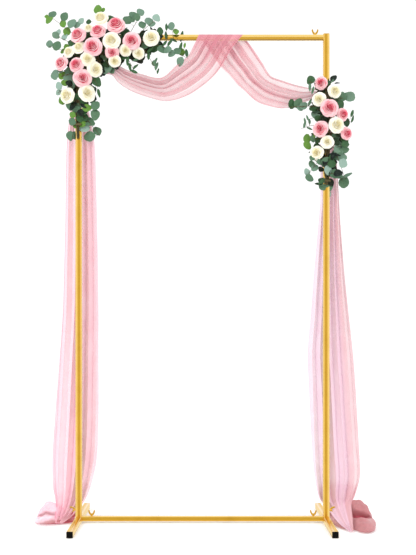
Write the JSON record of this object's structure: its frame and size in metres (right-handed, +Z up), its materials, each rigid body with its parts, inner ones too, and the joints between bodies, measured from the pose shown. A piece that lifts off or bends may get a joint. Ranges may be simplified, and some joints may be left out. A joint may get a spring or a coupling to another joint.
{
  "type": "wedding arch",
  "caption": "Rectangular stand of square gold tubes, dressed with a sheer pink scarf over its top rail and a swag of artificial roses and eucalyptus on each upright.",
  "frame": {"origin": "on the floor, midway between the uprights", "axes": "+Z up, +X towards the right upright seen from the front, the front faces -Y"},
  "size_m": [1.368, 0.45, 2.1143],
  "materials": {
    "gold_tube": "polished electroplated gold on steel tube",
    "gold_screw": "polished electroplated gold",
    "black_plastic": "moulded",
    "pink_chiffon": "sheer",
    "tie_wire": "satin",
    "stems": "moulded",
    "pink_petals": "matt",
    "cream_petals": "matt",
    "leaves": "matt"
  },
  "bodies": {
    "root": {"bar_wrap": "pink_chiffon", "bottom_rail": "gold_tube", "left_bottom_rail_screw": "gold_screw", "left_cream_roses": "cream_petals", "left_curtain": "pink_chiffon", "left_drape_tie": "tie_wire", "left_eucalyptus": "leaves", "left_flower_tie": "tie_wire", "left_foot": "gold_tube", "left_foot_back_cap": "black_plastic", "left_foot_front_cap": "black_plastic", "left_pink_roses": "pink_petals", "left_pool": "pink_chiffon", "left_stem_bundle": "stems", "left_swag": "pink_chiffon", "left_top_cap": "gold_tube", "left_top_rail_screw": "gold_screw", "left_upright": "gold_tube", "left_upright_screw": "gold_screw", "right_bottom_rail_screw": "gold_screw", "right_cream_roses": "cream_petals", "right_curtain": "pink_chiffon", "right_drape_tie": "tie_wire", "right_eucalyptus": "leaves", "right_flower_tie": "tie_wire", "right_foot": "gold_tube", "right_foot_back_cap": "black_plastic", "right_foot_front_cap": "black_plastic", "right_pink_roses": "pink_petals", "right_pool": "pink_chiffon", "right_stem_bundle": "stems", "right_swag": "pink_chiffon", "right_top_cap": "gold_tube", "right_top_rail_screw": "gold_screw", "right_upright": "gold_tube", "right_upright_screw": "gold_screw", "top_rail": "gold_tube"}
  },
  "joints": []
}
